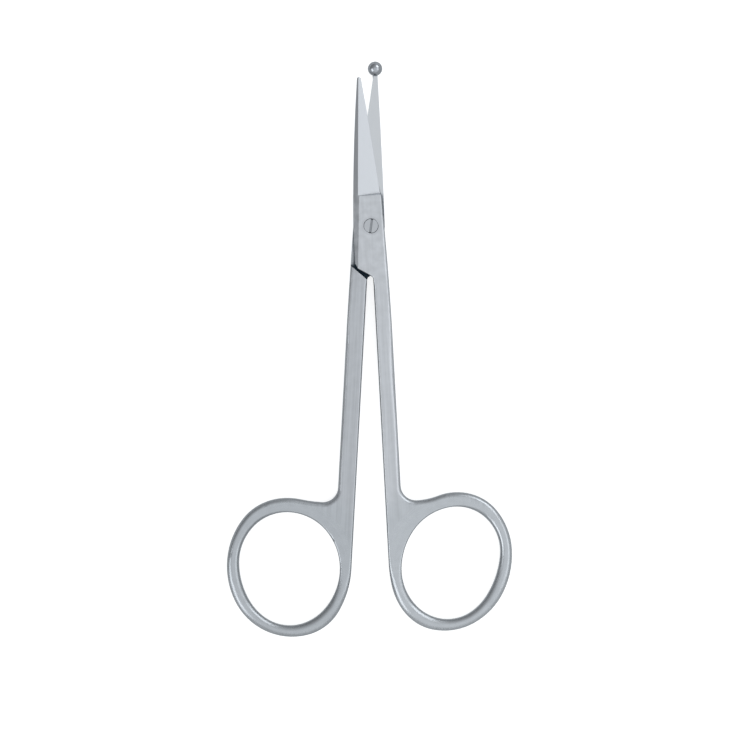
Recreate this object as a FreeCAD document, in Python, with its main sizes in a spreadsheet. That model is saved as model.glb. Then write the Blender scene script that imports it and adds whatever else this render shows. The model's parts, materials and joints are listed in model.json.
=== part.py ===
# Artery scissors: two forged halves crossed at a lap joint, and the slotted screw that holds them.
# Both halves are drawn in the same way, in a frame of their own: the pivot axis is Z, the blade
# points along +Y, the shank and its ring lie on the +X side, the outer face is at the top, and the
# face that meets the other half is at mid thickness. The front half keeps that frame. The back
# half is the same kind of forging turned over about Y. Lengths in millimetres, angles in degrees.
import FreeCAD
import Part
import Sketcher
import math
import os

V = FreeCAD.Vector

# Name, value and meaning of every driving size.
SIZES = [
    ("stock", 3.2, "thickness of both halves together at the joint, and of the rings"),
    ("lap_gap", 0.02, "gap between the two lap faces"),
    ("waist", 2.7, "thickness of the shanks half way down"),
    ("waist_top", -12.0, "y where the outer faces start to dip"),
    ("waist_end", -52.0, "y where the outer faces are level again"),
    ("rest_opening", 6.2, "angle between the halves as they lie"),
    ("closing_line", -0.165, "x of the line where the closed shanks meet"),
    ("shank_gap", 0.07, "gap left between the closed shanks"),
    ("blade_length", 29.84, "pivot to the sharp tip"),
    ("edge_heel", 6.46, "y where the cutting edge starts"),
    ("edge_step", 0.31, "from there down to where the side of the joint starts"),
    ("plate_chamfer", 1.16, "height of the joint plate's cut corner"),
    ("plate_inset", 0.54, "width of that cut corner"),
    ("plate_slope", 31.5, "fall of the plate's lower edge"),
    ("crotch_radius", 0.8, "radius between plate and shank"),
    ("side_blend", -24.0, "y where the joint's side has run into the straight shank"),
    ("shoulder_slope", 37.6, "angle of the shoulder across the shank"),
    ("shoulder_drop", 10.74, "pivot down to the shoulder, on the closing line"),
    ("shoulder_gap", 0.06, "room between the shoulder and the other half's plate when closed"),
    ("shoulder_draft", 2.0, "lean of the shoulder's wall"),
    ("shoulder_root", 0.05, "radius at the foot of the shoulder"),
    ("heel_height", 1.42, "height of the blade's ridge above the lap, at the heel"),
    ("tip_height", 0.37, "the same at the tip"),
    ("edge_land", 0.15, "thickness left along the cutting edge"),
    ("face_start", 6.0, "y where the ridge of the blade starts"),
    ("step_slope", 4.5, "slant of the step between joint and blade"),
    ("step_draft", 14.0, "lean of the step's wall"),
    ("bevel_slope", 35.0, "fall of the bevel along the back of the blade"),
    ("bevel_heel", 0.95, "width of that bevel where the blade starts"),
    ("bevel_tip", 0.3, "its width at the tip"),
    ("bevel_joint", 1.2, "its width at the top of the joint"),
    ("bevel_foot", 0.6, "its width at the bottom of the joint"),
    ("tip_radius", 0.42, "rounding of the sharp tip in plan"),
    ("rim_corner", 2.65, "rim at its thicker places, below the shank and outside"),
    ("rim_low", 2.45, "rim between the outer side and the lowest point"),
    ("rim_bottom", 2.2, "rim at the lowest point"),
    ("rim_side", 2.42, "rim on the outer side"),
    ("rim_top", 2.85, "rim along the top"),
    ("line_end", 0.5, "ring's middle up to the end of the straight inner side"),
    ("hole_egg", 0.13, "how far the finger hole departs from a plain oval"),
    ("egg_lean", 35.5, "direction in which it is widest"),
    ("shank_side", 135.0, "direction from the ring's middle to the foot of the shank"),
    ("web_span", 50.0, "how far to each side of that the hole's edge rounding stays small"),
    ("arc_fit", 0.1, "how far an arc of the ring may stray from its fair curve"),
    ("neck_radius", 3.05, "hollow between shank and ring"),
    ("joint_rounding", 0.3, "edge rounding at the joint"),
    ("inner_rounding", 0.5, "edge rounding on the inner side of the shank"),
    ("outer_rounding", 0.65, "edge rounding on the outer side of the shank"),
    ("rim_rounding", 1.0, "edge rounding round the ring"),
    ("shank_ease", 0.1, "how much less the shank's rounding is than the ring's where they meet"),
    ("rim_crown", 0.06, "share of the narrowest rim that stays level between its roundings"),
    ("web_rounding", 0.4, "edge rounding of the hole beside the shank"),
    ("front_spine", 3.55, "front half: pivot to the back of the blade"),
    ("front_spine_bow", 0.25, "front half: bow of the back of the blade"),
    ("front_edge", 2.14, "front half: pivot to the heel of the cutting edge"),
    ("front_edge_bow", 0.08, "front half: bow of the cutting edge"),
    ("front_side", 2.36, "front half: pivot to the side of the joint"),
    ("front_shank", 3.23, "front half: width of the shank"),
    ("front_tip", -0.83, "front half: x of the tip"),
    ("front_neck", -52.1, "front half: y where the shank runs into the ring"),
    ("front_ring_x", 12.27, "front half: x of the ring's middle"),
    ("front_ring_y", -67.87, "front half: y of the ring's middle"),
    ("front_hole", 20.82, "front half: mean width of the finger hole"),
    ("front_oval", 1.94, "front half: how much longer than wide, halved"),
    ("front_lean", 68.6, "front half: direction of the hole's long axis"),
    ("back_spine", 2.75, "back half: pivot to the back of the blade"),
    ("back_spine_bow", 0.1, "back half: bow of the back of the blade"),
    ("back_edge", 3.12, "back half: pivot to the heel of the cutting edge"),
    ("back_edge_bow", 0.05, "back half: bow of the cutting edge"),
    ("back_side", 3.4, "back half: pivot to the side of the joint"),
    ("back_shank", 3.55, "back half: width of the shank"),
    ("back_tip", 0.74, "back half: x of the blade's end"),
    ("back_neck", -52.5, "back half: y where the shank runs into the ring"),
    ("back_ring_x", 12.58, "back half: x of the ring's middle"),
    ("back_ring_y", -69.06, "back half: y of the ring's middle"),
    ("back_hole", 21.19, "back half: mean width of the finger hole"),
    ("back_oval", 1.43, "back half: how much longer than wide, halved"),
    ("back_lean", 81.2, "back half: direction of the hole's long axis"),
    ("ball_radius", 1.47, "ball at the end of the back blade"),
    ("ball_lift", 0.03, "height of the ball's lowest point when the scissors lie flat"),
    ("ball_x", 0.9, "x of the ball's middle, in the back half's frame"),
    ("tip_gap", 0.1, "gap between the sharp tip and the ball"),
    ("ball_root", 0.5, "length of the back blade inside the ball"),
    ("ball_neck", 0.52, "radius of the neck that carries the ball"),
    ("neck_start", 0.25, "radius where that neck grows out of the blade"),
    ("neck_length", 4.3, "length of the neck on the blade"),
    ("screw_head", 2.9, "width of the screw's head"),
    ("screw_shaft", 1.9, "width of its shaft"),
    ("head_rim", 0.3, "straight rim of the head, above its cone"),
    ("head_dish", 0.04, "how far the head lies below the outer face"),
    ("screw_end", 0.05, "how far the shaft ends above the lower face"),
    ("turn_gap", 0.03, "gap round the screw in the front half"),
    ("thread_gap", 0.02, "gap round the screw's thread in the back half"),
    ("slot_width", 0.42, "screw slot"),
    ("slot_depth", 0.45, "depth of the slot"),
    ("slot_turn", 7.6, "how far the slot points right of the blades"),
    ("screw_edge", 0.06, "edge broken round both ends of the screw"),
]

doc = FreeCAD.newDocument("artery_scissors")
sheet = doc.addObject("Spreadsheet::Sheet", "Sizes")
for row, (name, value, meaning) in enumerate(SIZES, 1):
    sheet.set("A%d" % row, name)
    sheet.set("B%d" % row, str(value))
    sheet.set("C%d" % row, meaning)
    sheet.setAlias("B%d" % row, name)
doc.recompute()


def size(name):
    """The value of one driving size."""
    return float(sheet.get(name))


def direction(angle):
    """Unit vector in the plan, at an angle counted from +X."""
    return V(math.cos(math.radians(angle)), math.sin(math.radians(angle)), 0)


def attach(sketch, body, role, offset=None):
    """Lay a sketch on one of its body's own origin planes, moved by an offset."""
    plane = [item for item in body.Origin.OriginFeatures if item.Role == role][0]
    sketch.AttachmentSupport = [(plane, "")]
    sketch.MapMode = "FlatFace"
    if offset is not None:
        sketch.AttachmentOffset = offset


def past(value, line):
    """How far a value is past a line, to the hundredth, so that a place on the line gives 0."""
    return round(value - line, 2)


def end_at(sketch, index, point):
    """Which end of a sketched curve lies at a point: 1 for its start, 2 for its end."""
    return 1 if sketch.getPoint(index, 1).distanceToPoint(point) < 1e-6 else 2


def draw(body, name, curves, role="XY_Plane", offset=None):
    """A closed outline whose curves follow each other, end to start."""
    sketch = body.newObject("Sketcher::SketchObject", name)
    attach(sketch, body, role, offset)
    sketch.addGeometry(curves, False)
    for i, curve in enumerate(curves):
        following = (i + 1) % len(curves)
        end = end_at(sketch, i, curve.EndPoint)
        start = end_at(sketch, following, curves[following].StartPoint)
        sketch.addConstraint(Sketcher.Constraint("Coincident", i, end, following, start))
    return sketch


def polygon(points):
    """Straight lines round a list of points."""
    return [Part.LineSegment(a, b) for a, b in zip(points, points[1:] + points[:1])]


def volume(body):
    doc.recompute()
    return body.Shape.Volume


def pocket(body, name, sketch, length=None, reverse=False, taper=0.0, both=False):
    """Cut with a sketch, through everything or to a bound length, and check that it cuts."""
    before = volume(body)
    cut = body.newObject("PartDesign::Pocket", name)
    cut.Profile = sketch
    cut.Reversed = reverse
    cut.Midplane = both
    if length is None:
        cut.Type = "ThroughAll"
    else:
        cut.Type = "Length"
        cut.setExpression("Length", length)
    cut.TaperAngle = taper
    after = volume(body)
    if after > before - 1e-4:
        raise RuntimeError("%s removes nothing" % name)
    return cut


def plane_offset(origin, along, outward):
    """Placement of a tilted sketch plane: its X follows along, its Z points outward."""
    z_axis = V(outward).normalize()
    x_axis = V(along) - z_axis * V(along).dot(z_axis)
    x_axis.normalize()
    y_axis = z_axis.cross(x_axis)
    matrix = FreeCAD.Matrix(
        x_axis.x, y_axis.x, z_axis.x, origin.x,
        x_axis.y, y_axis.y, z_axis.y, origin.y,
        x_axis.z, y_axis.z, z_axis.z, origin.z,
        0, 0, 0, 1)
    return FreeCAD.Placement(matrix)


def arc_with_bow(start, end, bow):
    """Arc from start to end that stands off its chord by bow, to the left of the way."""
    middle = (start + end) * 0.5
    way = end - start
    left = V(-way.y, way.x, 0).normalize()
    return Part.Arc(start, middle + left * bow, end)


class Half:
    """One forging in its own frame."""

    reach = 60.0  # farther than any cut has to go
    hole_stations = 24  # points on the fair curve of a finger hole

    def __init__(self, side):
        self.side = side
        self.stock = size("stock")
        self.lap = self.stock / 2 + size("lap_gap") / 2
        gap = size("shank_gap") / 2
        turn = 1 if side == "front" else -1
        self.inner = size("closing_line") * turn + gap
        self.outer = self.inner + self.own("shank")
        self.ring = V(self.own("ring_x"), self.own("ring_y"), 0)
        into_ball = size("tip_gap") + size("ball_root")
        self.length = size("blade_length") + (0 if side == "front" else into_ball)
        self.tip_y = self.length - size("tip_radius")
        self.side_heel = size("edge_heel") - size("edge_step")
        # The lowest corner of the joint plate stops just short of the other half's shoulder.
        slope = math.radians(size("shoulder_slope"))
        self.meeting_line = size("closing_line") * turn
        corner_x = size("plate_inset") - self.own("spine")
        rise = (self.meeting_line - corner_x) * math.tan(slope)
        room = size("shoulder_gap") / math.cos(slope)
        self.plate_foot = V(corner_x, rise + room - size("shoulder_drop"), 0)

    def own(self, name):
        return size(self.side + "_" + name)

    def hole_radius(self, angle):
        """Distance from the ring's middle to the edge of the finger hole."""
        oval = self.own("oval") / 2 * math.cos(math.radians(2 * (angle - self.own("lean"))))
        egg = size("hole_egg") * math.cos(math.radians(3 * (angle - size("egg_lean"))))
        return self.own("hole") / 2 + oval + egg

    def rim_point(self, angle, rim):
        """Point of the ring's outer outline, a named rim width outside the hole."""
        return self.ring + direction(angle) * (self.hole_radius(angle) + size(rim))

    def spine_at(self, y):
        """Back of the blade at a height y, with its bow."""
        tip = self.own("tip") - size("tip_radius")
        share = y / self.tip_y
        chord = -self.own("spine") + (tip + self.own("spine")) * share
        return chord - self.own("spine_bow") * 4 * share * (1 - share)

    def ring_outline(self):
        """Outer outline of the ring, from the hollow at the shank round to the inner line."""
        radius = size("neck_radius")
        start = V(self.outer + radius, self.own("neck") - radius, 0)
        end = V(self.inner, self.ring.y + size("line_end"), 0)
        stations = [(88, "rim_top"), (58, "rim_top"), (15, "rim_side"), (-30, "rim_corner"),
                    (-60, "rim_low"), (-88, "rim_bottom"), (-118, "rim_corner"),
                    (-142, "rim_corner")]
        points = [start] + [self.rim_point(angle, rim) for angle, rim in stations] + [end]
        # Counted along the way, so that the end tangents of length 1 leave no ripple.
        way = [0.0]
        for a, b in zip(points, points[1:]):
            way.append(way[-1] + (b - a).Length)
        curve = Part.BSplineCurve()
        curve.interpolate(Points=points, Parameters=way, Scale=False,
                          InitialTangent=V(1, 0, 0), FinalTangent=V(0, 1, 0))
        return start, curve.toBiArcs(size("arc_fit")), end

    def plan(self):
        """Outline of the whole forging seen from above."""
        tip_radius = size("tip_radius")
        tip = self.own("tip")
        tip_back = V(tip - tip_radius, self.tip_y, 0)
        tip_top = V(tip, self.length, 0)
        tip_edge = V(tip + tip_radius, self.tip_y, 0)
        edge = V(self.own("edge"), size("edge_heel"), 0)
        side = V(self.own("side"), self.side_heel, 0)
        blend = V(self.outer, size("side_blend"), 0)
        neck = V(self.outer, self.own("neck"), 0)
        hollow, ring_curves, line_foot = self.ring_outline()
        radius = size("neck_radius")
        corner = V(self.outer + radius, self.own("neck"), 0)
        hollow_middle = corner + direction(225) * radius
        # The joint's side is an arc that runs tangent into the straight shank.
        rise = side - blend
        side_radius = (rise.x ** 2 + rise.y ** 2) / (2 * -rise.x)
        half_turn = math.asin(rise.y / side_radius) / 2
        side_middle = V(self.outer - side_radius * (1 - math.cos(half_turn)),
                        blend.y + side_radius * math.sin(half_turn), 0)
        # The plate's lower edge falls to the crotch and is rounded into the shank's inner side.
        cut_foot = self.plate_foot
        spine_foot = cut_foot + V(-size("plate_inset"), size("plate_chamfer"), 0)
        fall = direction(-size("plate_slope"))
        meeting = cut_foot + fall * ((self.inner - cut_foot.x) / fall.x)
        turn = 90 - size("plate_slope")
        radius = size("crotch_radius")
        reach = radius * math.tan(math.radians(turn / 2))
        crotch_low = meeting - V(0, reach, 0)
        crotch_high = meeting - fall * reach
        centre = crotch_low - V(radius, 0, 0)
        crotch_middle = centre + direction(turn / 2) * radius
        return [
            Part.Arc(tip_back, tip_top, tip_edge),
            arc_with_bow(tip_edge, edge, self.own("edge_bow")),
            Part.LineSegment(edge, side),
            Part.Arc(side, side_middle, blend),
            Part.LineSegment(blend, neck),
            Part.Arc(neck, hollow_middle, hollow),
        ] + ring_curves + [
            Part.LineSegment(line_foot, crotch_low),
            Part.Arc(crotch_low, crotch_middle, crotch_high),
            Part.LineSegment(crotch_high, cut_foot),
            Part.LineSegment(cut_foot, spine_foot),
            Part.LineSegment(spine_foot, V(-self.own("spine"), 0, 0)),
            arc_with_bow(V(-self.own("spine"), 0, 0), tip_back, self.own("spine_bow")),
        ]

    def hole_outline(self):
        """The finger hole: arcs fitted to a fair curve, from beside the shank all the way round."""
        points = []
        for i in range(self.hole_stations):
            angle = size("shank_side") + 360.0 * i / self.hole_stations
            points.append(self.ring + direction(angle) * self.hole_radius(angle))
        curve = Part.BSplineCurve()
        curve.interpolate(Points=points, PeriodicFlag=True)
        first = curve.copy()
        second = curve.copy()
        far = curve.parameter(points[self.hole_stations // 2])
        first.segment(curve.FirstParameter, far)
        second.segment(far, curve.LastParameter)
        return first.toBiArcs(size("arc_fit")) + second.toBiArcs(size("arc_fit"))

    def waist_outline(self):
        """Dip of an outer face, in the side view: three arcs that run into each other."""
        depth = (self.stock - size("waist")) / 2
        top = size("waist_top")
        end = size("waist_end")
        quarter = (end - top) / 4
        radius = (4 * quarter ** 2 + depth ** 2) / (4 * depth)
        half_depth = depth / 2

        def point(y, below):
            return V(y, self.stock - below, 0)

        def bend(share):
            """Depth of a dip that starts level, a share of a quarter of the way along."""
            return radius - math.sqrt(radius ** 2 - (share * quarter) ** 2)

        middle = (top + end) / 2
        a, b = point(top, 0), point(top + quarter, half_depth)
        c, d = point(end - quarter, half_depth), point(end, 0)
        above = 1.0
        return [
            Part.Arc(a, point(top + quarter / 2, bend(0.5)), b),
            Part.Arc(b, point(middle, depth), c),
            Part.Arc(c, point(end - quarter / 2, bend(0.5)), d),
            Part.LineSegment(d, d + V(0, above, 0)),
            Part.LineSegment(d + V(0, above, 0), a + V(0, above, 0)),
            Part.LineSegment(a + V(0, above, 0), a),
        ]

    def blank(self):
        """The plate with its outline, its finger hole and the waist of its shank."""
        body = doc.addObject("PartDesign::Body", self.side + "_blank")
        plan = draw(body, self.side + "_plan", self.plan())
        pad = body.newObject("PartDesign::Pad", self.side + "_plate")
        pad.Profile = plan
        pad.setExpression("Length", "Sizes.stock")
        hole = draw(body, self.side + "_hole_outline", self.hole_outline())
        pocket(body, self.side + "_hole", hole, reverse=True)
        turn_over = FreeCAD.Placement(V(0, self.stock, 0), FreeCAD.Rotation(V(1, 0, 0), 180))
        for name, offset in (("upper", None), ("lower", turn_over)):
            curves = self.waist_outline()
            sketch = draw(body, "%s_%s_waist" % (self.side, name), curves, "YZ_Plane", offset)
            pocket(body, "%s_%s_dip" % (self.side, name), sketch, both=True)
        return body

    def rounding(self, point):
        """Edge rounding wanted at one corner of the handle's outline."""
        plan = V(point.x, point.y, 0)
        limit = (1 - size("rim_crown")) / 2 * size("rim_bottom")
        rim = min(size("rim_rounding"), limit)
        bearing = self.bearing(plan)
        half_rim = size("rim_bottom") / 2
        if (plan - self.ring).Length < self.hole_radius(bearing) + half_rim:
            from_shank = abs((bearing - size("shank_side") + 180) % 360 - 180)
            return size("web_rounding") if from_shank < size("web_span") else rim
        if past(plan.y, size("waist_top")) > 0 or past(plan.x, self.inner) < 0:
            return size("joint_rounding")
        if past(plan.x, self.inner) == 0:
            return size("inner_rounding")
        if past(plan.x, self.outer) <= 0:
            share = (size("waist_top") - plan.y) / (size("waist_top") - self.own("neck"))
            fullest = rim - size("shank_ease")
            return size("outer_rounding") + share * (fullest - size("outer_rounding"))
        return rim

    def bearing(self, point):
        """Direction of a point from the ring's middle."""
        away = point - self.ring
        return math.degrees(math.atan2(away.y, away.x))

    def is_handle_edge(self, edge):
        """Whether an edge runs round the handle or its hole, on an outer face."""
        ends = [v.Point for v in edge.Vertexes]
        aside = abs(past(ends[0].x, ends[-1].x))
        along = abs(past(ends[0].y, ends[-1].y))
        upright = aside == 0 and along == 0
        straight = edge.Curve.TypeId == "Part::GeomLine"
        across_shank = straight and along == 0 and aside > self.own("shank") / 2
        if upright or across_shank:
            return False
        if past(max(p.y for p in ends), self.side_heel) > 0:
            return False
        return past(min(p.x for p in ends), self.plate_foot.x) >= 0

    def rounded(self, blank):
        """The blank with its handle's edges rounded, more round the ring than on the shank."""
        doc.recompute()
        result = doc.addObject("Part::Fillet", self.side + "_rounded")
        result.Base = blank
        rows = []
        for number, edge in enumerate(blank.Shape.Edges, 1):
            if not self.is_handle_edge(edge):
                continue
            first = edge.valueAt(edge.FirstParameter)
            last = edge.valueAt(edge.LastParameter)
            rows.append((number, self.rounding(first), self.rounding(last)))
        result.Edges = rows
        doc.recompute()
        return result

    def shoulder_outline(self):
        """Side view of the lap recess, across the shoulder: wall, root and floor."""
        draft = math.radians(size("shoulder_draft"))
        floor = self.lap
        wall = V(-math.sin(draft), -math.cos(draft), 0)
        level = V(1, 0, 0)
        opening = math.pi / 2 + draft
        root = size("shoulder_root")
        corner = V(0, floor, 0)
        reach = root / math.tan(opening / 2)
        bisector = (wall + level).normalize()
        wall_end = corner + wall * reach
        floor_start = corner + level * reach
        middle = corner + bisector * (root / math.sin(opening / 2) - root)
        below = corner + wall * (floor + 1) * (1 / math.cos(draft))
        far = V(self.reach, floor, 0)
        far_below = V(self.reach, below.y, 0)
        return [
            Part.LineSegment(below, wall_end),
            Part.Arc(wall_end, middle, floor_start),
            Part.LineSegment(floor_start, far),
            Part.LineSegment(far, far_below),
            Part.LineSegment(far_below, below),
        ]

    def cut_lap(self, body):
        """Take away the half of the thickness that the other forging fills."""
        along = direction(size("shoulder_slope"))
        towards_blade = V(-along.y, along.x, 0)
        foot = V(self.meeting_line, -size("shoulder_drop"), 0)
        offset = plane_offset(foot, towards_blade, towards_blade.cross(V(0, 0, 1)))
        sketch = draw(body, self.side + "_lap_side", self.shoulder_outline(), offset=offset)
        pocket(body, self.side + "_lap", sketch, both=True)

    def bevel(self, body, name, foot, top):
        """Grind the outer edge along a line, falling towards the back of the blade."""
        along = top - foot
        aside = V(0, 0, 1).cross(along).normalize()
        slope = math.radians(size("bevel_slope"))
        fall = aside * math.cos(slope) - V(0, 0, 1) * math.sin(slope)
        offset = plane_offset(foot, along, along.cross(fall))
        r = self.reach
        corners = [V(-r, -r, 0), V(r, -r, 0), V(r, r, 0), V(-r, r, 0)]
        sketch = draw(body, name + "_outline", polygon(corners), offset=offset)
        pocket(body, name, sketch, reverse=True)

    def grind_blade(self, body):
        """The blade's face, its step at the joint, and the bevels along its back."""
        middle = self.stock / 2
        start = size("face_start")
        top = self.tip_y
        heel = V(self.spine_at(start) + size("bevel_heel"), start, middle + size("heel_height"))
        tip = V(self.spine_at(top) + size("bevel_tip"), top, middle + size("tip_height"))
        edge = V(self.own("edge"), size("edge_heel"), middle + size("edge_land"))
        along = tip - heel
        outward = (edge - heel).cross(along).normalize()
        offset = plane_offset(heel, along, outward)
        aside = self.reach / 5
        step = direction(size("step_slope")) * aside
        plan = [V(edge.x, edge.y, 0) + step, V(edge.x, edge.y, 0) - step,
                V(-aside, self.reach, 0), V(aside, self.reach, 0)]
        lifted = [V(p.x, p.y, heel.z - (outward.x * (p.x - heel.x) + outward.y * (p.y - heel.y))
                    / outward.z) for p in plan]
        local = [offset.inverse().multVec(p) for p in lifted]
        sketch = draw(body, self.side + "_face_outline", polygon(local), offset=offset)
        pocket(body, self.side + "_face", sketch, "Sizes.stock", reverse=True,
               taper=size("step_draft"))
        self.bevel(body, self.side + "_blade_bevel", heel, tip)
        low = self.plate_foot.y + size("plate_chamfer")
        ridge_foot = V(size("bevel_foot") - self.own("spine"), low, self.stock)
        ridge_top = V(self.spine_at(start) + size("bevel_joint"), start, self.stock)
        self.bevel(body, self.side + "_joint_bevel", ridge_foot, ridge_top)

    def build(self):
        """The finished forging, before its screw hole."""
        rounded = self.rounded(self.blank())
        body = doc.addObject("PartDesign::Body", self.side + "_half")
        body.BaseFeature = rounded
        self.cut_lap(body)
        self.grind_blade(body)
        return body


def head_levels():
    """Heights of the screw's top, of the foot of its rim and of the foot of its cone."""
    top = size("stock") - size("head_dish")
    rim = top - size("head_rim")
    cone = rim - (size("screw_head") - size("screw_shaft")) / 2
    return top, rim, cone


def sink(body):
    """The hole of the front half, with the seat of the screw's head."""
    gap = size("turn_gap")
    top, rim, cone = head_levels()
    shaft = size("screw_shaft") / 2 + gap
    head = size("screw_head") / 2 + gap
    above = size("stock") + 1
    corners = [V(0, -1, 0), V(shaft, -1, 0), V(shaft, cone, 0), V(head, rim, 0),
               V(head, above, 0), V(0, above, 0)]
    sketch = draw(body, "seat_profile", polygon(corners), "XZ_Plane")
    before = volume(body)
    groove = body.newObject("PartDesign::Groove", "screw_seat")
    groove.Profile = sketch
    groove.ReferenceAxis = (sketch, ["V_Axis"])
    groove.Angle = 360
    if volume(body) > before - 1e-4:
        raise RuntimeError("the screw's seat removes nothing")


def drill(body):
    """The tapped hole of the back half, kept plain."""
    sketch = body.newObject("Sketcher::SketchObject", "tapped_circle")
    attach(sketch, body, "XY_Plane")
    radius = size("screw_shaft") / 2 + size("thread_gap")
    sketch.addGeometry(Part.Circle(V(0, 0, 0), V(0, 0, 1), radius), False)
    sketch.addConstraint(Sketcher.Constraint("Coincident", 0, 3, -1, 1))
    number = sketch.addConstraint(Sketcher.Constraint("Radius", 0, radius))
    sketch.renameConstraint(number, "radius")
    sketch.setExpression("Constraints.radius", "Sizes.screw_shaft / 2 + Sizes.thread_gap")
    pocket(body, "tapped_hole", sketch, reverse=True)


def add_ball(body, half):
    """The ball of the back blade and the neck that carries it."""
    middle = V(size("ball_x"), size("blade_length") + size("tip_gap") + size("ball_radius"),
               size("stock") - size("ball_radius") - size("ball_lift"))
    start_y = size("blade_length") - size("neck_length")
    start_x = (half.spine_at(start_y) + half.own("tip") + size("tip_radius")) / 2
    start = V(start_x, start_y, half.lap + size("neck_start"))
    end = V(middle.x, middle.y - size("ball_radius") / 2, half.lap + size("ball_neck"))
    neck = body.newObject("PartDesign::AdditiveCone", "ball_neck")
    attach(neck, body, "XY_Plane", plane_offset(start, V(1, 0, 0), end - start))
    neck.setExpression("Radius1", "Sizes.neck_start")
    neck.setExpression("Radius2", "Sizes.ball_neck")
    neck.Height = (end - start).Length
    neck.Angle = 360
    doc.recompute()
    ball = body.newObject("PartDesign::AdditiveSphere", "ball")
    attach(ball, body, "XY_Plane", FreeCAD.Placement(middle, FreeCAD.Rotation()))
    ball.setExpression("Radius", "Sizes.ball_radius")
    doc.recompute()


def make_screw():
    """The pivot screw: slotted head with a cone under it, and a plain shaft."""
    body = doc.addObject("PartDesign::Body", "pivot_screw")
    top, rim, cone = head_levels()
    head = size("screw_head") / 2
    shaft = size("screw_shaft") / 2
    break_edge = size("screw_edge")
    end = size("screw_end")
    corners = [V(0, end, 0), V(shaft - break_edge, end, 0), V(shaft, end + break_edge, 0),
               V(shaft, cone, 0), V(head, rim, 0), V(head, top - break_edge, 0),
               V(head - break_edge, top, 0), V(0, top, 0)]
    sketch = draw(body, "screw_profile", polygon(corners), "XZ_Plane")
    turned = body.newObject("PartDesign::Revolution", "turned_screw")
    turned.Profile = sketch
    turned.ReferenceAxis = (sketch, ["V_Axis"])
    turned.Angle = 360
    doc.recompute()
    half_width = size("slot_width") / 2
    r = size("screw_head")
    corners = [V(-half_width, -r, 0), V(half_width, -r, 0), V(half_width, r, 0), V(-half_width, r, 0)]
    offset = FreeCAD.Placement(V(0, 0, top), FreeCAD.Rotation(V(0, 0, 1), -size("slot_turn")))
    slot = draw(body, "slot_outline", polygon(corners), offset=offset)
    pocket(body, "slot", slot, "Sizes.slot_depth")
    return body


front = Half("front")
front_body = front.build()
sink(front_body)
back = Half("back")
back_body = back.build()
drill(back_body)
add_ball(back_body, back)
screw = make_screw()
doc.recompute()

# The halves are turned about the screw to lie open as found; the back one is also turned over.
opening = size("rest_opening")
about_pivot = V(0, 0, 1)
front_body.Placement = FreeCAD.Placement(V(0, 0, 0), FreeCAD.Rotation(about_pivot, opening / 2))
turned_over = FreeCAD.Placement(V(0, 0, size("stock")), FreeCAD.Rotation(V(0, 1, 0), 180))
opened = FreeCAD.Placement(V(0, 0, 0), FreeCAD.Rotation(about_pivot, -opening / 2))
back_body.Placement = opened * turned_over
doc.recompute()

for item in doc.Objects:
    if "Invalid" in item.State or "Error" in item.State:
        raise RuntimeError("%s failed: %s" % (item.Name, item.State))

os.makedirs("parts", exist_ok=True)
for piece in (front_body, back_body, screw):
    piece.Label = piece.Name
    shape = piece.Shape
    if shape.isNull() or not shape.isValid() or len(shape.Solids) != 1:
        raise RuntimeError("%s is not one valid solid" % piece.Label)
    shape.exportStep("parts/%s.step" % piece.Label)
    box = shape.BoundBox
    print("%-12s %8.1f mm3  x %.2f %.2f  y %.2f %.2f  z %.2f %.2f" % (
        piece.Label, shape.Volume, box.XMin, box.XMax, box.YMin, box.YMax, box.ZMin, box.ZMax))
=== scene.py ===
# %% [markdown]
# # Artery scissors: finish, light and camera
#
# The object is a pair of fine surgical scissors: two forged steel halves and one slotted screw.
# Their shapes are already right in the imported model, so this scene adds no part to them. It gives
# each the finish that a finisher gives it at the bench, and sets a small photo studio round it.

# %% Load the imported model
import bpy
import json
import math
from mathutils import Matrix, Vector


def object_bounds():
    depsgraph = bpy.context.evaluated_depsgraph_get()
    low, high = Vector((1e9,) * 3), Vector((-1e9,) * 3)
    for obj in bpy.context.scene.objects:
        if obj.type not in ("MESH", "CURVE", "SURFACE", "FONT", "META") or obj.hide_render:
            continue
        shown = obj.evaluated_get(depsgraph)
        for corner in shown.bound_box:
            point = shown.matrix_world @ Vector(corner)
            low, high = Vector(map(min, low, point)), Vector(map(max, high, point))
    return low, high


MM = 0.001
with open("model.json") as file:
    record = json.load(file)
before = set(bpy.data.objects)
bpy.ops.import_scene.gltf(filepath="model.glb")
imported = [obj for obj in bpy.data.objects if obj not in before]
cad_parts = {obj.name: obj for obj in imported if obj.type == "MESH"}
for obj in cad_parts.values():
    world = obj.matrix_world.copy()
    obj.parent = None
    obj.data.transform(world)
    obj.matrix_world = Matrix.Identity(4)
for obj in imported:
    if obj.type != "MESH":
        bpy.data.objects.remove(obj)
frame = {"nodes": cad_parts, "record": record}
cad_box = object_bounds()
front = frame["nodes"]["front_half"]
back = frame["nodes"]["back_half"]
screw = frame["nodes"]["pivot_screw"]
print("overall size in mm:", [round(side / MM, 2) for side in cad_box[1] - cad_box[0]])

# %% [markdown]
# ## Colours
#
# A colour is written the way a colour picker shows it, as sRGB hex. A shader works in linear
# light, so one function turns the first into the second. Every colour below goes through it.

# %% From sRGB hex to linear light
def colour(hex_code):
    """Linear RGBA from a code such as '#C8CDD2'."""
    parts = [int(hex_code[i:i + 2], 16) / 255 for i in (1, 3, 5)]
    linear = [p / 12.92 if p <= 0.04045 else ((p + 0.055) / 1.055) ** 2.4 for p in parts]
    return (*linear, 1.0)


print("mid grey #808080 is", round(colour("#808080")[0], 3), "in linear light")

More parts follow.
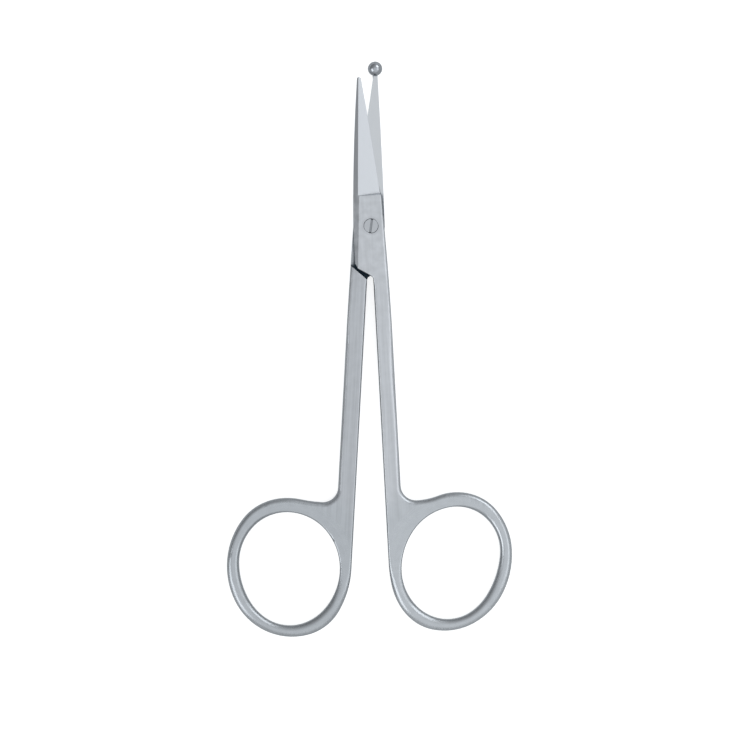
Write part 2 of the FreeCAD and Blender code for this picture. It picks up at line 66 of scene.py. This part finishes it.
# %% [markdown]
# ## One function for every node
#
# A material is a tree of nodes. Each call here adds one, sets its properties, and fills its
# inputs. An input is given a plain value, or the output of an earlier node, which is then linked.
# Two settings come back often. SMOOTH makes a Map Range node go over in a soft step, from 0 to 1
# unless it is told otherwise. COLOURS makes a Mix node mix colours: its sockets are then reached
# by number, 6 and 7 going in and 2 coming out, because the names A, B and Result give the sockets
# for plain numbers.

# %% Add a node with its settings and links
SMOOTH = {"interpolation_type": "SMOOTHSTEP"}
COLOURS = {"data_type": "RGBA"}


def add(tree, kind, settings=None, inputs=None):
    node = tree.nodes.new("ShaderNode" + kind)
    for name, value in (settings or {}).items():
        setattr(node, name, value)
    for name, value in (inputs or {}).items():
        if isinstance(value, bpy.types.NodeSocket):
            tree.links.new(value, node.inputs[name])
        else:
            node.inputs[name].default_value = value
    return node


# %% [markdown]
# ## Where things are on a half
#
# Both halves lie turned by half of the rest opening, so their grinding marks run at a slant in the
# row frame. Turning the object coordinates back about the pivot lays a half straight: its blade
# then runs along +Y. All places below are in millimetres in that straight position. Object
# coordinates travel with the half, so the finish stays in place when the scissors open.

# %% Middles of the finger holes
REST_TURN = math.radians(3.1)
openings = {place["name"]: place["box_m"] for place in frame["record"]["physics"]["openings"]}


def ring_middle(name, turn):
    """Middle of a finger hole in millimetres, with its half laid straight."""
    low, high = (Vector(corner) for corner in openings[name])
    middle = (low + high) / 2 / MM
    x = middle.x * math.cos(turn) - middle.y * math.sin(turn)
    y = middle.x * math.sin(turn) + middle.y * math.cos(turn)
    return x, y


front_ring = ring_middle("right_finger_ring", -REST_TURN)
back_ring = ring_middle("left_finger_ring", REST_TURN)
print("ring middles in mm:", [round(v, 1) for v in front_ring + back_ring])

# %% Middle of the ball
BALL_RADIUS = 1.47


def ball_middle():
    """Middle of the ball in millimetres in the row frame: it is the highest thing along +Y."""
    top = max(v.co.y for v in back.data.vertices)
    crown = [v.co for v in back.data.vertices if v.co.y > top - BALL_RADIUS * MM]
    x = (min(p.x for p in crown) + max(p.x for p in crown)) / 2
    z = (min(p.z for p in crown) + max(p.z for p in crown)) / 2
    return Vector((x, top - BALL_RADIUS * MM, z)) / MM


ball = ball_middle()
print("ball middle in mm:", [round(v, 2) for v in ball])


# %% Lay a half straight, and measure from a place on it
def straight(tree, turn):
    """Object coordinates in millimetres, turned about the pivot so that the blade runs along +Y."""
    place = add(tree, "TexCoord").outputs["Object"]
    laid = add(tree, "Mapping", inputs={
        "Vector": place, "Rotation": (0, 0, turn), "Scale": (1 / MM, 1 / MM, 1 / MM)})
    return laid.outputs["Vector"]


def distance_from(tree, place, middle):
    """How far a place is from a middle, in the plan, in millimetres."""
    flat = add(tree, "VectorMath", {"operation": "MULTIPLY"}, {0: place, 1: (1, 1, 0)})
    apart = add(tree, "VectorMath", {"operation": "DISTANCE"}, {
        0: flat.outputs["Vector"], 1: (middle[0], middle[1], 0)})
    return apart.outputs["Value"]


# %% [markdown]
# ## Zones
#
# The finish changes from the shank to the joint, the blade and the ring. Vertex paint could hold
# the zones, but these meshes have few points on their flat faces. A zone is therefore worked out
# from a measure: it is 0 outside, 1 inside and goes over in a soft step. Along the half, 0 is the
# pivot and plus is towards the tip. Round a ring and round the screw the measure is a distance.

# %% Zones of a half
ZONES = {
    "on_blade": ("along", 5.9, 6.9),
    "blade_unshaded": ("along", 7.2, 8.6),
    "on_plate": ("along", -14.0, -8.0),
    "near_ring": ("from_ring", 19.0, 14.0),
    "on_ring": ("from_ring", 14.0, 12.5),
    "round_screw": ("from_screw", 2.0, 1.8)}
LOW_END = 5.0


def half_zones(tree, place, ring):
    """Every zone by its name, and low_end, which grows from above a ring's middle to below it."""
    measures = {
        "along": add(tree, "SeparateXYZ", inputs={"Vector": place}).outputs["Y"],
        "from_ring": distance_from(tree, place, ring),
        "from_screw": distance_from(tree, place, (0, 0))}
    edges = {**ZONES, "low_end": ("along", ring[1] + LOW_END, ring[1] - LOW_END)}
    return {name: add(tree, "MapRange", SMOOTH, {
        "Value": measures[measure], "From Min": outside, "From Max": inside}).outputs["Result"]
        for name, (measure, outside, inside) in edges.items()}


print(len(ZONES) + 1, "zones on each half")

# %% [markdown]
# ## Grinding marks along the shank
#
# A forged half is linished: drawn lengthwise over a fine abrasive belt. The belt leaves parallel
# scratches about 0.02 mm wide and many millimetres long. The camera's pixel covers 0.2 mm, so the
# finest are drawn six times wider, about as fine as still shows, under broader bands of half a
# millimetre where many scratches lie together. A noise squeezed across the shank and stretched
# along it gives both. They could be an image texture, but the noise needs no file and doesn't
# repeat.

# %% Marks of the linishing belt
BAND_WIDTH = 0.5
BAND_LENGTH = 26.0


def belt_marks(tree, place):
    across, along = 1 / BAND_WIDTH, 1 / BAND_LENGTH
    stretched = add(tree, "VectorMath", {"operation": "MULTIPLY"}, {
        0: place, 1: (across, along, across)})
    marks = add(tree, "TexNoise", inputs={
        "Vector": stretched.outputs["Vector"], "Scale": 1.0, "Detail": 2.0, "Roughness": 0.65})
    return marks.outputs["Fac"]


# %% [markdown]
# ## Polishing marks round a ring
#
# A finger ring is polished with a narrow strop that is drawn round it, so its marks follow the
# ring. The same noise is therefore laid out in polar coordinates: the distance from the ring's
# middle takes the place of x, and the way round takes the place of y. A strop is much finer than
# the belt, so the pattern is calmed: four fifths of it give way to its mean.

# %% Marks of the strop
RING_RADIUS = 12.0
STROP_CALM = 0.8
MEAN = 0.5


def strop_marks(tree, place, middle):
    centred = add(tree, "VectorMath", {"operation": "SUBTRACT"}, {
        0: place, 1: (middle[0], middle[1], 0)})
    part = add(tree, "SeparateXYZ", inputs={"Vector": centred.outputs["Vector"]})
    angle = add(tree, "Math", {"operation": "ARCTAN2"}, {
        0: part.outputs["Y"], 1: part.outputs["X"]})
    way_round = add(tree, "Math", {"operation": "MULTIPLY"}, {
        0: angle.outputs["Value"], 1: RING_RADIUS})
    polar = add(tree, "CombineXYZ", inputs={
        "X": distance_from(tree, place, middle),
        "Y": way_round.outputs["Value"],
        "Z": part.outputs["Z"]})
    calmed = add(tree, "Mix", inputs={
        "Factor": STROP_CALM, "A": belt_marks(tree, polar.outputs["Vector"]), "B": MEAN})
    return calmed.outputs["Result"]


# %% [markdown]
# ## The cloud of the satin finish
#
# After grinding, the flat faces are dulled with a fine abrasive compound so that they don't glare
# under a theatre lamp. The hand holds the part a little harder here and there, which leaves soft
# clouds one or two millimetres across, and a grain far finer than a pixel. The cloud is drawn at
# its real size. The grain is drawn at 0.3 mm, as fine as it can be and still show.

# %% Cloud and grain
CLOUD_SIZE = 1.6
GRAIN_SIZE = 0.3
GRAIN_SHARE = 0.06


def satin_cloud(tree, place):
    cloud = add(tree, "TexNoise", inputs={
        "Vector": place, "Scale": 1 / CLOUD_SIZE, "Detail": 2.0, "Roughness": 0.5})
    grain = add(tree, "TexNoise", inputs={
        "Vector": place, "Scale": 1 / GRAIN_SIZE, "Detail": 2.0, "Roughness": 0.7})
    both = add(tree, "Mix", inputs={
        "Factor": GRAIN_SHARE, "A": cloud.outputs["Fac"], "B": grain.outputs["Fac"]})
    return both.outputs["Result"]


# %% [markdown]
# ## One pattern for a half
#
# The marks and the cloud are laid together into one pattern from 0 to 1, which later moves the
# colour, the roughness and the relief. The plate of the joint is dulled most, so the cloud is the
# larger share there, and down the shanks the belt's marks are. The blades are ground last on a
# very fine wheel and are nearly plain.

# %% Marks and cloud together
CLOUD_ON_SHANK, CLOUD_ON_PLATE = 0.25, 0.65
PATTERN_FROM, PATTERN_TO = 0.25, 0.75
BLADE_CALM = 0.9


def finish_pattern(tree, place, ring, zone):
    """0 where the marks lie close together, 1 where there are hardly any."""
    marks = add(tree, "Mix", inputs={
        "Factor": zone["on_ring"], "A": belt_marks(tree, place),
        "B": strop_marks(tree, place, ring)})
    share = add(tree, "Mix", inputs={
        "Factor": zone["on_plate"], "A": CLOUD_ON_SHANK, "B": CLOUD_ON_PLATE})
    both = add(tree, "Mix", inputs={
        "Factor": share.outputs["Result"], "A": marks.outputs["Result"],
        "B": satin_cloud(tree, place)})
    clearer = add(tree, "MapRange", SMOOTH, {
        "Value": both.outputs["Result"], "From Min": PATTERN_FROM, "From Max": PATTERN_TO})
    calm = add(tree, "Math", {"operation": "MULTIPLY"}, {0: zone["on_blade"], 1: BLADE_CALM})
    pattern = add(tree, "Mix", inputs={
        "Factor": calm.outputs["Value"], "A": clearer.outputs["Result"], "B": MEAN})
    return pattern.outputs["Result"]


# %% [markdown]
# ## Rubbed edges
#
# Handling and the buff round every sharp edge a little and rub it smooth, so an edge shows as a
# thin line. The Bevel node gives the softened normal. Where it departs from the true normal there
# is an edge, and that difference is the mask for a lower roughness. The blades stay nearly sharp.
# The low end of each finger ring is rounder than its top, so the rounding grows there. A Bevel
# modifier could cut the roundings into the mesh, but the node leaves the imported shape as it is.

# %% Rounding of the edges
EDGE_ROUNDING = 0.09
BLADE_ROUNDING = 0.03
RING_ROUNDING = 1.6


def edge_radius(tree, zone):
    """Radius of the edges in metres."""
    plain = add(tree, "Mix", inputs={
        "Factor": zone["on_blade"], "A": EDGE_ROUNDING * MM, "B": BLADE_ROUNDING * MM})
    low_on_ring = add(tree, "Math", {"operation": "MULTIPLY"}, {
        0: zone["on_ring"], 1: zone["low_end"]})
    radius = add(tree, "Mix", inputs={
        "Factor": low_on_ring.outputs["Value"], "A": plain.outputs["Result"],
        "B": RING_ROUNDING * MM})
    return radius.outputs["Result"]


# %% Soft normal and edge mask
EDGE_BEGINS, EDGE_FULL = 0.995, 0.9


def rubbed_edges(tree, radius):
    """The softened normal, and 1 where there is an edge."""
    soft = add(tree, "Bevel", {"samples": 8}, {"Radius": radius})
    true = add(tree, "NewGeometry")
    agree = add(tree, "VectorMath", {"operation": "DOT_PRODUCT"}, {
        0: soft.outputs["Normal"], 1: true.outputs["Normal"]})
    edge = add(tree, "MapRange", inputs={
        "Value": agree.outputs["Value"], "From Min": EDGE_BEGINS, "From Max": EDGE_FULL})
    return soft.outputs["Normal"], edge.outputs["Result"]


def levelness(tree, normal):
    """1 where a face lies flat, looking up or down, and 0 where it stands upright."""
    way = add(tree, "SeparateXYZ", inputs={"Vector": normal})
    return add(tree, "Math", {"operation": "ABSOLUTE"}, {0: way.outputs["Z"]}).outputs["Value"]


# %% [markdown]
# ## Painted shade in the joint
#
# The narrow places are painted darker, as painted shade: at the foot of the shoulder, in the
# notch below the joint and in the screw slot. Ambient occlusion finds such places from the shape
# alone. There the steel gets a dark painted colour and a higher roughness. Only level places get
# it, so steep sides are left out. The plate round the screw gets a fixed faint share, and the
# blades get none.

# %% How clear of the painted shade a place is
# Painted shade: how far ambient occlusion looks, and where the darkening is full and where it ends.
CREVICE_SHADE_REACH = 2.4
CREVICE_SHADE_AT, UNSHADED_AT = 0.4, 0.78
LEVEL, STEEP = 0.7, 0.3
# Painted shade: a fixed faint share round the screw, and none on the blades.
PLATE_UNSHADED = 0.93
NO_PAINTED_SHADE = 1.0


def openness(tree):
    """0 deep in a narrow place, 1 in the open or on a steep side: these get no painted shade."""
    sky = add(tree, "AmbientOcclusion", {"samples": 8}, {"Distance": CREVICE_SHADE_REACH * MM})
    in_the_open = add(tree, "MapRange", SMOOTH, {
        "Value": sky.outputs["AO"], "From Min": CREVICE_SHADE_AT, "From Max": UNSHADED_AT})
    level = levelness(tree, add(tree, "NewGeometry").outputs["Normal"])
    on_a_side = add(tree, "MapRange", SMOOTH, {
        "Value": level, "From Min": LEVEL, "From Max": STEEP})
    either = add(tree, "Math", {"operation": "MAXIMUM"}, {
        0: in_the_open.outputs["Result"], 1: on_a_side.outputs["Result"]})
    return either.outputs["Value"]


def clear_of_painted_shade(tree, zone):
    """1 where a half gets no painted shade, less where it gets some."""
    plate = add(tree, "Mix", inputs={
        "Factor": zone["round_screw"], "A": openness(tree), "B": PLATE_UNSHADED})
    half = add(tree, "Mix", inputs={
        "Factor": zone["blade_unshaded"], "A": plate.outputs["Result"], "B": NO_PAINTED_SHADE})
    return half.outputs["Result"]


# %% [markdown]
# ## Painted shade on the roundings
#
# The roundings between the flat faces and the upright sides are painted a much darker grey of the
# same steel. This is painted shade: it stands in for the darker surroundings that these slopes
# mirror. In the photograph this is the dark outline of the rings, the ball and the edges. The
# softened normal tells how steep a place is. The painted shade deepens with the slope, and eases
# again where the side stands upright.

# %% Painted shade of the roundings
# Painted shade: how dark the roundings and the upright sides are painted, and over which slopes.
ROUNDING_SHADE_TONE, UPRIGHT_SHADE_TONE = 0.4, 0.9
ROUNDING_FROM, ROUNDING_TO = 0.86, 0.55
UPRIGHT_FROM, UPRIGHT_TO = 0.34, 0.14
FLAT_UNSHADED_TONE = 1.0


def painted_rounding_shade(tree, soft_normal):
    """Painted shade: 1 on flat faces, darker on the roundings, a little darker on upright sides."""
    level = levelness(tree, soft_normal)
    rounded = add(tree, "MapRange", SMOOTH, {
        "Value": level, "From Min": ROUNDING_FROM, "From Max": ROUNDING_TO})
    tone = add(tree, "Mix", inputs={
        "Factor": rounded.outputs["Result"], "A": FLAT_UNSHADED_TONE, "B": ROUNDING_SHADE_TONE})
    upright = add(tree, "MapRange", SMOOTH, {
        "Value": level, "From Min": UPRIGHT_FROM, "From Max": UPRIGHT_TO})
    tone = add(tree, "Mix", inputs={
        "Factor": upright.outputs["Result"], "A": tone.outputs["Result"], "B": UPRIGHT_SHADE_TONE})
    return tone.outputs["Result"]


# %% [markdown]
# ## Hardened stainless steel, satin ground
#
# The halves are martensitic stainless steel, ground and then satin finished. To the eye that is a
# cool light grey metal whose highlights are broad and soft. Metallic is 1 and the IOR stays at its
# default. The colours start from the usual light grey of steel and were matched to the photograph
# zone by zone. So the two halves, their shanks, rings and blades, and the ball each get a grey of
# their own, and the differences are painted light and shade for how the light falls on each part.
# Where the marks lie close together the steel is a fifth darker.

# %% Colour of the steel
# Painted light and shade: the greys differ by half and by zone for how the light falls on each
# part.
SHANK_STEEL = {"front": "#C5CAD0", "back": "#B8BDC3"}
BLADE_STEEL = {"front": "#C4C9CF", "back": "#CCD1D6"}
RING_STEEL = {"front": "#BBC1C7", "back": "#B3B9BF"}
BALL_STEEL = "#AEB4BB"
DULLED_BY = 0.8


def half_colour(tree, half, zone):
    """The steel of a half, zone by zone, with its painted light and shade."""
    steel = add(tree, "Mix", COLOURS, {
        0: zone["near_ring"], 6: colour(SHANK_STEEL[half]), 7: colour(RING_STEEL[half])})
    steel = add(tree, "Mix", COLOURS, {
        0: zone["on_blade"], 6: steel.outputs[2], 7: colour(BLADE_STEEL[half])})
    if "on_ball" in zone:
        steel = add(tree, "Mix", COLOURS, {
            0: zone["on_ball"], 6: steel.outputs[2], 7: colour(BALL_STEEL)})
    return steel.outputs[2]


def dulled(tree, steel, pattern):
    """The steel's colour, darker where the marks of the finish lie close together."""
    shade = add(tree, "MapRange", inputs={"Value": pattern, "To Min": DULLED_BY, "To Max": 1.0})
    darker = add(tree, "VectorMath", {"operation": "SCALE"}, {
        0: steel, "Scale": shade.outputs["Result"]})
    return darker.outputs["Vector"]


# %% [markdown]
# ## How smooth the steel is
#
# Roughness starts from 0.3, usual for satin steel. The shanks are a little coarser. The blades were
# ground again to an edge, the rings were stropped, and both are finer. The ball is polished like a
# mirror so that it glides inside a vessel. The pattern moves the roughness by 0.05 either way.

# %% Roughness of a half
SHANK_ROUGHNESS = 0.33
BLADE_ROUGHNESS = 0.28
RING_ROUGHNESS = 0.25
BALL_ROUGHNESS = 0.14
EDGE_ROUGHNESS = 0.2
CREVICE_SHADE_ROUGHNESS = 0.5
ROUGHNESS_SPREAD = 0.05


def half_roughness(tree, zone, pattern, edge, clear):
    rough = add(tree, "Mix", inputs={
        "Factor": zone["on_ring"], "A": SHANK_ROUGHNESS, "B": RING_ROUGHNESS})
    rough = add(tree, "Mix", inputs={
        "Factor": zone["on_blade"], "A": rough.outputs["Result"], "B": BLADE_ROUGHNESS})
    varied = add(tree, "MapRange", inputs={
        "Value": pattern, "To Min": -ROUGHNESS_SPREAD, "To Max": ROUGHNESS_SPREAD})
    rough = add(tree, "Math", {"operation": "ADD"}, {
        0: rough.outputs["Result"], 1: varied.outputs["Result"]})
    rough = add(tree, "Mix", inputs={
        "Factor": edge, "A": rough.outputs["Value"], "B": EDGE_ROUGHNESS})
    if "on_ball" in zone:
        rough = add(tree, "Mix", inputs={
            "Factor": zone["on_ball"], "A": rough.outputs["Result"], "B": BALL_ROUGHNESS})
    rough = add(tree, "Mix", inputs={
        "Factor": clear, "A": CREVICE_SHADE_ROUGHNESS, "B": rough.outputs["Result"]})
    return rough.outputs["Result"]


# %% [markdown]
# ## Put the layers together
#
# The halves and the screw end in the same way: the painted shade of the narrow places is laid over
# the steel's colour, the pattern becomes a very shallow relief on the softened normal, and one
# metal shader takes it all.
# The marks are only about a third of a thousandth of a millimetre deep, which is enough to break
# up a highlight. Displacing the mesh could carry them too, but not at this size.

# %% A metal surface
# Painted shade: the dark colour that the narrow places are painted towards.
CREVICE_SHADE_COLOUR = "#1E2B36"
MARK_DEPTH = 0.0003


def new_material(name):
    material = bpy.data.materials.new(name)
    material.use_nodes = True
    material.node_tree.nodes.clear()
    return material, material.node_tree


def metal_surface(tree, steel, clear, rough, pattern, soft_normal):
    # Painted shade: where a place is not clear, its colour goes over to the dark shade colour.
    tint = add(tree, "Mix", COLOURS, {0: clear, 6: colour(CREVICE_SHADE_COLOUR), 7: steel})
    relief = add(tree, "Bump", inputs={
        "Height": pattern, "Distance": MARK_DEPTH * MM, "Strength": 1.0, "Normal": soft_normal})
    shader = add(tree, "BsdfPrincipled", inputs={
        "Base Color": tint.outputs[2], "Metallic": 1.0, "Roughness": rough,
        "Normal": relief.outputs["Normal"]})
    add(tree, "OutputMaterial", inputs={"Surface": shader.outputs["BSDF"]})


# %% Finish of the halves
BALL_BLEND = 0.1


def on_ball(tree):
    """1 on the ball, which only the back half carries."""
    far = add(tree, "VectorMath", {"operation": "DISTANCE"}, {
        0: add(tree, "TexCoord").outputs["Object"], 1: ball * MM})
    return add(tree, "MapRange", SMOOTH, {
        "Value": far.outputs["Value"], "From Min": (BALL_RADIUS + BALL_BLEND) * MM,
        "From Max": BALL_RADIUS * MM}).outputs["Result"]


def satin_steel(half, turn, ring, has_ball):
    material, tree = new_material(f"satin_ground_stainless_{half}")
    place = straight(tree, turn)
    zone = half_zones(tree, place, ring)
    if has_ball:
        zone["on_ball"] = on_ball(tree)
    pattern = finish_pattern(tree, place, ring, zone)
    soft_normal, edge = rubbed_edges(tree, edge_radius(tree, zone))
    clear = clear_of_painted_shade(tree, zone)
    rough = half_roughness(tree, zone, pattern, edge, clear)
    # Painted shade: the steel's colour is scaled down on the roundings and upright sides.
    steel = add(tree, "VectorMath", {"operation": "SCALE"}, {
        0: dulled(tree, half_colour(tree, half, zone), pattern),
        "Scale": painted_rounding_shade(tree, soft_normal)})
    metal_surface(tree, steel.outputs["Vector"], clear, rough, pattern, soft_normal)
    return material


front.material_slots[0].material = satin_steel("front", -REST_TURN, front_ring, has_ball=False)
back.material_slots[0].material = satin_steel("back", REST_TURN, back_ring, has_ball=True)
print("halves finished:", front.active_material.name, back.active_material.name)

# %% [markdown]
# ## Turned stainless steel
#
# The screw is turned on a lathe, then faced off with the plate it sits in. Turning leaves fine
# circles round its axis, about 0.05 mm apart and here drawn at 0.15 mm, as fine as still shows.
# The head shares the plate's satin dulling, and its slot gets some of the painted shade.

# %% Finish of the screw
SCREW_STEEL = "#BABFC5"
TURNING_PITCH = 0.15
SCREW_CLOUD = 0.6
SCREW_UNSHADED_SHARE = 0.65
FAINT_MARK, STRONG_MARK = 0.3, 0.7
FINE_TURNED, COARSE_TURNED = 0.26, 0.4


def turned_steel(name):
    material, tree = new_material(name)
    place = straight(tree, 0.0)
    circles = add(tree, "Math", {"operation": "DIVIDE"}, {
        0: distance_from(tree, place, (0, 0)), 1: TURNING_PITCH})
    marks = add(tree, "TexNoise", {"noise_dimensions": "1D"}, {
        "W": circles.outputs["Value"], "Scale": 1.0, "Detail": 2.0})
    pattern = add(tree, "Mix", inputs={
        "Factor": SCREW_CLOUD, "A": marks.outputs["Fac"],
        "B": satin_cloud(tree, place)}).outputs["Result"]
    soft_normal = rubbed_edges(tree, EDGE_ROUNDING * MM)[0]
    # Painted shade: the slot is darkened like the narrow places of the halves, at about a third of
    # their strength.
    clear = add(tree, "Mix", inputs={
        "Factor": SCREW_UNSHADED_SHARE, "A": openness(tree), "B": NO_PAINTED_SHADE}).outputs["Result"]
    varied = add(tree, "MapRange", inputs={
        "Value": pattern, "From Min": FAINT_MARK, "From Max": STRONG_MARK,
        "To Min": FINE_TURNED, "To Max": COARSE_TURNED})
    rough = add(tree, "Mix", inputs={
        "Factor": clear, "A": CREVICE_SHADE_ROUGHNESS, "B": varied.outputs["Result"]}).outputs["Result"]
    steel = dulled(tree, colour(SCREW_STEEL)[:3], pattern)
    metal_surface(tree, steel, clear, rough, pattern, soft_normal)
    return material


screw.material_slots[0].material = turned_steel("turned_stainless")
print("screw finished:", screw.active_material.name)

# %% [markdown]
# ## Floor
#
# The scissors lie on a sheet of matt pale paper that fills the picture. Its diffuse part takes the
# contact shadow. A second part glows for the camera, so the paper reads as pure white without any
# more light falling on the steel. Rays that leave a metal or a glass see the same glow, so the
# steel mirrors the white sheet that the camera sees. The fibres lie in tufts about a millimetre
# across, a shade lighter and darker.

# %% White paper
PAPER_TONES = ("#BDC0C2", "#C4C7C9")
PAPER_GLOW = 0.75
FIBRE_SIZE = 1.1


def white_paper():
    material, tree = new_material("matt_white_paper")
    fibres = add(tree, "TexNoise", inputs={
        "Vector": add(tree, "TexCoord").outputs["Object"], "Scale": 1 / (FIBRE_SIZE * MM),
        "Detail": 4.0})
    tone = add(tree, "Mix", COLOURS, {
        0: fibres.outputs["Fac"], 6: colour(PAPER_TONES[0]), 7: colour(PAPER_TONES[1])})
    matt = add(tree, "BsdfDiffuse", inputs={"Color": tone.outputs[2]})
    rays = add(tree, "LightPath")
    mirrored = add(tree, "Math", {"operation": "MAXIMUM"}, {
        0: rays.outputs["Is Glossy Ray"], 1: rays.outputs["Is Transmission Ray"]})
    seen = add(tree, "Math", {"operation": "MAXIMUM"}, {
        0: rays.outputs["Is Camera Ray"], 1: mirrored.outputs["Value"]})
    glow = add(tree, "Math", {"operation": "MULTIPLY"}, {
        0: seen.outputs["Value"], 1: PAPER_GLOW})
    light = add(tree, "Emission", inputs={
        "Color": colour("#FFFFFF"), "Strength": glow.outputs["Value"]})
    both = add(tree, "AddShader", inputs={0: matt.outputs["BSDF"], 1: light.outputs["Emission"]})
    add(tree, "OutputMaterial", inputs={"Surface": both.outputs["Shader"]})
    return material


# %% Lay the sheet just under the scissors
FLOOR_SIDE = 3.0
FLOOR_DROP = 0.02

sheet = bpy.data.meshes.new("paper_sheet")
half_side = FLOOR_SIDE / 2
floor_z = cad_box[0].z - FLOOR_DROP * MM
corners = [(-half_side, -half_side), (half_side, -half_side),
           (half_side, half_side), (-half_side, half_side)]
sheet.from_pydata([(x, y, floor_z) for x, y in corners], [], [(0, 1, 2, 3)])
sheet.materials.append(white_paper())
paper = bpy.data.objects.new("paper_sheet", sheet)
bpy.context.scene.collection.objects.link(paper)
print("paper lies at z =", round(floor_z / MM, 3), "mm")

# %% [markdown]
# ## Light
#
# Metal shows its surroundings, so the surroundings are the light. The room is pale, with a lighter
# ceiling a little in front of the camera and to its right, and it is shaded at the rear left.
# Faces that lie flat mirror the ceiling and show the grey of their steel. Slopes that face the
# rear left come out darkest, which is how the eye reads their shape. The room is a world shader:
# its brightness depends on how near a direction lies to the shaded side and to the ceiling. The
# measure of nearness is the cosine of the angle between them: 1 is dead on, 0 a right angle.

# %% The room
SHADED_SIDE = Vector((-0.77, 0.64, 0.0)).normalized()
ROOM_LIT, ROOM_SHADED = 0.68, 0.37
SHADE_FROM, SHADE_TO = 0.3, 0.9
CEILING = Vector((0.24, -0.29, 0.93)).normalized()
CEILING_EXTRA = 0.36
CEILING_FROM, CEILING_TO = 0.64, 0.93


def pale_room():
    world = bpy.data.worlds.new("pale_room")
    bpy.context.scene.world = world
    world.use_nodes = True
    tree = world.node_tree
    tree.nodes.clear()
    way = add(tree, "TexCoord").outputs["Generated"]
    to_shade = add(tree, "VectorMath", {"operation": "DOT_PRODUCT"}, {0: way, 1: SHADED_SIDE})
    walls = add(tree, "MapRange", SMOOTH, {
        "Value": to_shade.outputs["Value"], "From Min": SHADE_FROM, "From Max": SHADE_TO,
        "To Min": ROOM_LIT, "To Max": ROOM_SHADED})
    to_ceiling = add(tree, "VectorMath", {"operation": "DOT_PRODUCT"}, {0: way, 1: CEILING})
    overhead = add(tree, "MapRange", SMOOTH, {
        "Value": to_ceiling.outputs["Value"], "From Min": CEILING_FROM, "From Max": CEILING_TO})
    level = add(tree, "Math", {"operation": "MULTIPLY_ADD"}, {
        0: overhead.outputs["Result"], 1: CEILING_EXTRA, 2: walls.outputs["Result"]})
    air = add(tree, "Background", inputs={
        "Color": colour("#FFFFFF"), "Strength": level.outputs["Value"]})
    add(tree, "OutputWorld", inputs={"Surface": air.outputs["Background"]})


pale_room()
print("room level from", ROOM_SHADED, "to", ROOM_LIT, "and overhead", ROOM_LIT + CEILING_EXTRA)

# %% [markdown]
# ## Three softboxes
#
# The ball is a round mirror, so it shows where the lamps stand: a broad light area on the right
# and a smaller spot on the left, towards the front. A wide box on the right lights every slope
# that faces it, among them the front blade. One strip stands at the front left and one at the rear
# right, and they draw the narrow highlights on the crowns of the rings. No lamp stands where a
# face that lies flat would mirror it, because that would glare. The brightness of a box is chosen
# first, as a multiple of white, and the lamp's power follows from its area.

# %% Softboxes
def softbox(name, azimuth, lean, wide, deep, away, white):
    """A lit rectangle aimed at the scissors. It leans from overhead towards the azimuth, where 0
    is +X and 90 is +Y; wide is its side along the lean. Angles in degrees, sizes in metres."""
    lamp = bpy.data.lights.new(name, "AREA")
    lamp.shape = "RECTANGLE"
    lamp.size, lamp.size_y = wide, deep
    lamp.energy = white * math.pi * wide * deep
    stand = bpy.data.objects.new(name, lamp)
    turn, tilt = math.radians(azimuth), math.radians(lean)
    toward = Vector((math.sin(tilt) * math.cos(turn), math.sin(tilt) * math.sin(turn),
                     math.cos(tilt)))
    stand.location = (cad_box[0] + cad_box[1]) / 2 + toward * away
    stand.rotation_euler = (0, tilt, turn)
    stand.visible_camera = False
    bpy.context.scene.collection.objects.link(stand)
    print(name, "at", [round(v, 2) for v in stand.location], "m,", round(lamp.energy, 2), "W")


softbox("right_box", azimuth=0, lean=46, wide=0.4, deep=0.56, away=0.8, white=0.62)
softbox("left_strip", azimuth=205, lean=50, wide=0.36, deep=0.45, away=0.7, white=1.5)
softbox("rear_strip", azimuth=50, lean=54, wide=0.34, deep=0.4, away=0.7, white=1.9)

# %% [markdown]
# ## Camera
#
# The photograph looks straight down through a long lens from about a metre away. The picture is
# square and covers 150 mm of the paper. A sensor 36 mm wide then needs the focal length below.

# %% Camera straight above
PICTURE_SIDE = 150.0
PICTURE_MIDDLE = (0.79, -29.73)
CAMERA_AWAY = 900.0
SENSOR = 36.0

eye = bpy.data.cameras.new("camera")
eye.sensor_width = SENSOR
eye.lens = SENSOR * CAMERA_AWAY / PICTURE_SIDE
camera = bpy.data.objects.new("camera", eye)
camera.location = Vector((*PICTURE_MIDDLE, CAMERA_AWAY)) * MM
bpy.context.scene.collection.objects.link(camera)
bpy.context.scene.camera = camera
bpy.context.scene.view_settings.view_transform = "Standard"
print("focal length", round(eye.lens, 1), "mm")
